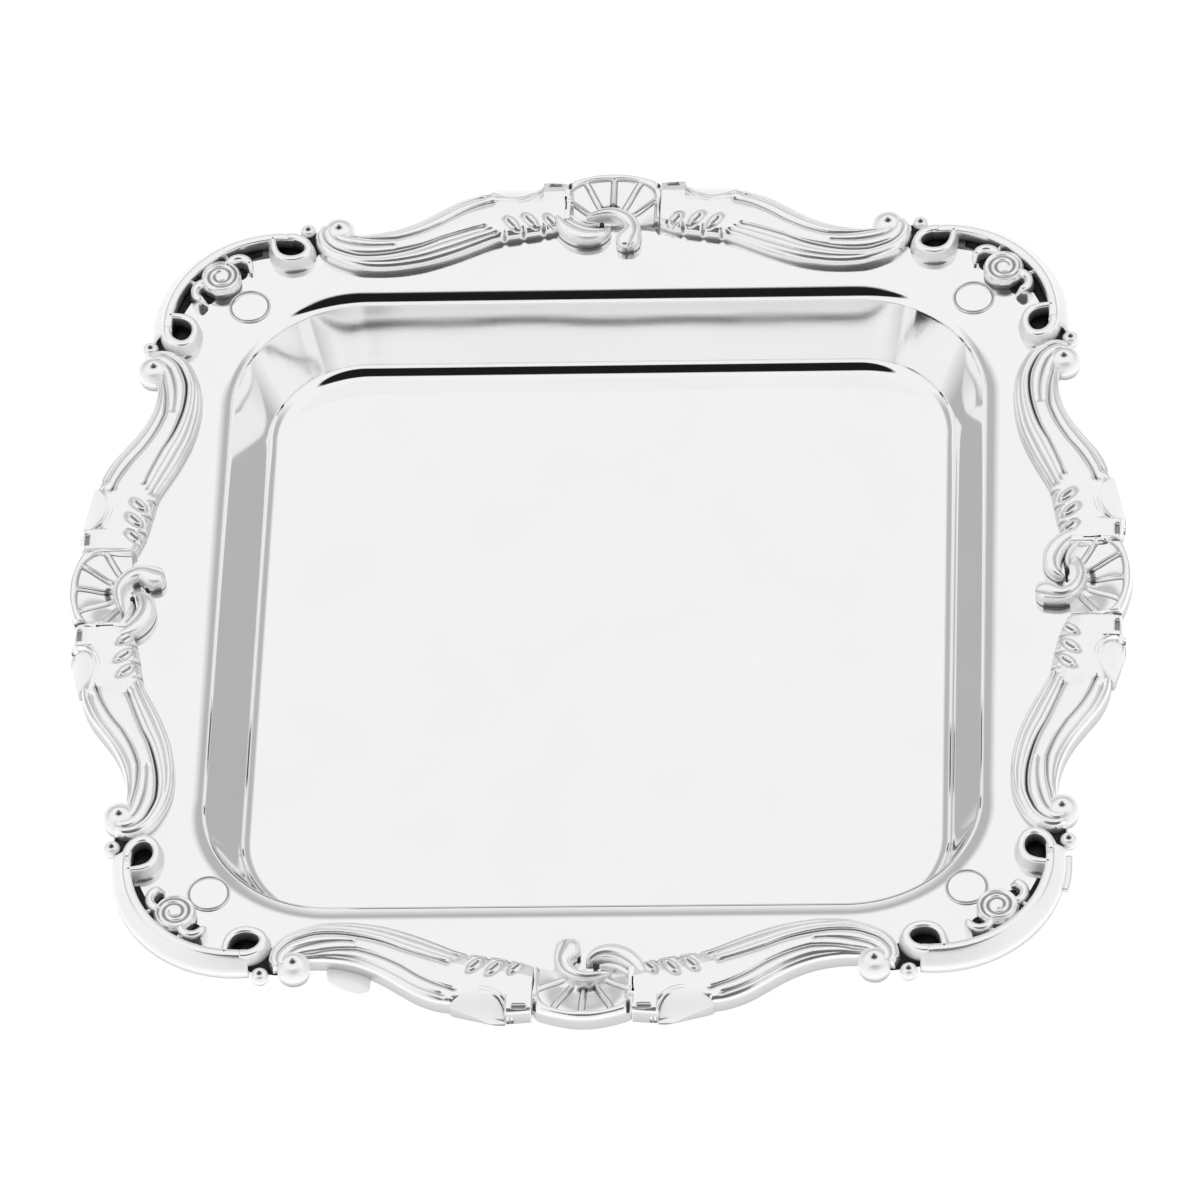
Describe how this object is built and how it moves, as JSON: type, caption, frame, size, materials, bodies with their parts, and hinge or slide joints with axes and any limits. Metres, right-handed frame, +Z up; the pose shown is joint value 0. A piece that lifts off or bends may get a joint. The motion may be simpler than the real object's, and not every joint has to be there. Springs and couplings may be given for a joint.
{
  "type": "footed serving salver",
  "caption": "Square silver serving salver with a deep plain well, flat flange and cast rococo border of reeded arms, shells and scrolled corners, on turned feet.",
  "frame": {"origin": "on the table plane, under the middle of the tray", "axes": "+Z up; +X to the right and -Y to the front side of the square tray"},
  "size_m": [0.304, 0.304, 0.0324],
  "materials": {
    "polished_sheet": "mirror-polished silver plate, fine wear",
    "cast_border": "bright cast silver plate, darker in the recesses",
    "dark_backing": "black oxidised recess ground",
    "turned_feet": "polished silver plate"
  },
  "bodies": {
    "root": {"tray_body": "polished_sheet", "arm_right_front": "cast_border", "arm_right_back": "cast_border", "arm_back_right": "cast_border", "arm_back_left": "cast_border", "arm_left_back": "cast_border", "arm_left_front": "cast_border", "arm_front_left": "cast_border", "arm_front_right": "cast_border", "shell_right": "cast_border", "scroll_right": "cast_border", "shell_back": "cast_border", "scroll_back": "cast_border", "shell_left": "cast_border", "scroll_left": "cast_border", "shell_front": "cast_border", "scroll_front": "cast_border", "corner_back_right": "cast_border", "backing_back_right": "dark_backing", "crescents_back_right": "cast_border", "rosette_back_right": "cast_border", "beads_back_right": "cast_border", "foot_back_right": "turned_feet", "corner_back_left": "cast_border", "backing_back_left": "dark_backing", "crescents_back_left": "cast_border", "rosette_back_left": "cast_border", "beads_back_left": "cast_border", "foot_back_left": "turned_feet", "corner_front_left": "cast_border", "backing_front_left": "dark_backing", "crescents_front_left": "cast_border", "rosette_front_left": "cast_border", "beads_front_left": "cast_border", "foot_front_left": "turned_feet", "corner_front_right": "cast_border", "backing_front_right": "dark_backing", "crescents_front_right": "cast_border", "rosette_front_right": "cast_border", "beads_front_right": "cast_border", "foot_front_right": "turned_feet", "foot_rivets": "polished_sheet", "edge_tab_front": "turned_feet", "edge_strip_right": "turned_feet"}
  },
  "joints": []
}
